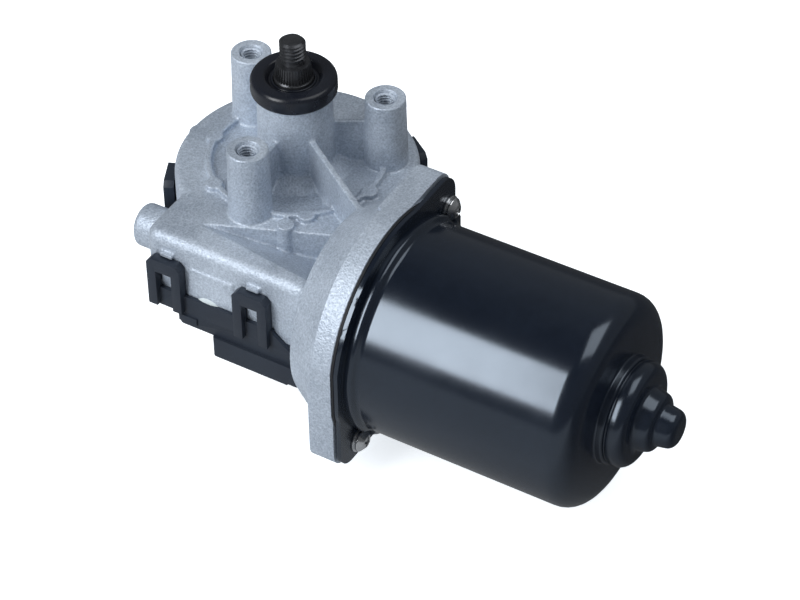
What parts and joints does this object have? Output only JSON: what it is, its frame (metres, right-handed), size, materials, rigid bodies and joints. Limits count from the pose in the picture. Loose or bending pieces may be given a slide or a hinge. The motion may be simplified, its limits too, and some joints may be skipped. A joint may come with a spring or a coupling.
{
  "type": "wiper motor",
  "caption": "Windscreen wiper motor: die-cast worm gearbox with an upright output shaft, black steel motor can and clip-on cover with connector socket.",
  "frame": {"origin": "on the output shaft axis, in the plane of the three mounting boss faces", "axes": "+Z along the output shaft towards its thread, +X along the motor axis towards the can, motor axis offset to -Y"},
  "size_m": [0.1855, 0.104, 0.1003],
  "materials": {
    "cast_aluminium": "as-cast satin with a fine blasted grain",
    "black_can_paint": "gloss black",
    "black_nylon": "moulded semi-matt black",
    "black_shaft_steel": "black phosphated",
    "black_rubber": "moulded rubber",
    "sintered_bronze": "oil-filled sintered",
    "wheel_acetal": "natural acetal",
    "bare_steel": "ground",
    "zinc_steel": "bright zinc plate",
    "core_laminations": "varnished laminations",
    "copper": "enamelled or bare copper",
    "ferrite": "pressed ferrite",
    "phenolic": "pressed laminate",
    "carbon": "copper graphite",
    "tinned_brass": "tinned"
  },
  "bodies": {
    "housing": {"gear_housing": "cast_aluminium", "upper_shaft_bush": "sintered_bronze", "lower_shaft_bush": "sintered_bronze", "shaft_cap": "black_rubber", "shaft_o_ring": "black_rubber", "wheel_thrust_washer": "wheel_acetal", "park_contacts": "tinned_brass", "front_ball_bush": "sintered_bronze", "front_bush_retainer": "bare_steel", "rear_ball_bush": "sintered_bronze", "rear_bush_retainer": "bare_steel", "worm_end_bush": "sintered_bronze", "worm_thrust_pad": "bare_steel", "rear_thrust_plug": "black_nylon", "motor_can": "black_can_paint", "can_gasket": "black_rubber", "field_magnets": "ferrite", "magnet_clips": "bare_steel", "brush_plate": "phenolic", "brush_holders": "tinned_brass", "carbon_brushes": "carbon", "brush_springs": "bare_steel", "choke_coils": "copper", "thermal_cutout": "black_nylon", "gear_cover": "black_nylon", "cover_seal": "black_rubber", "connector_pins": "tinned_brass", "can_screws": "zinc_steel", "screw_washers": "zinc_steel"},
    "output": {"output_shaft": "black_shaft_steel", "shaft_washer": "bare_steel", "shaft_circlip": "bare_steel", "worm_wheel": "wheel_acetal", "wheel_hub_disc": "bare_steel", "park_disc": "copper"},
    "rotor": {"armature_shaft": "bare_steel", "armature_core": "core_laminations", "armature_windings": "copper", "commutator": "copper"}
  },
  "joints": [
    {"name": "rotor_spin", "type": "hinge", "parent": "housing", "child": "rotor", "pos_m": [0, -0.031, -0.0405], "axis": [1, 0, 0], "continuous": true},
    {"name": "output_spin", "type": "hinge", "parent": "housing", "child": "output", "pos_m": [0, 0, 0], "axis": [0, 0, 1], "continuous": true}
  ],
  "couplings": [
    {"joint": "output_spin", "follows": "rotor_spin", "ratio": -0.018519}
  ]
}
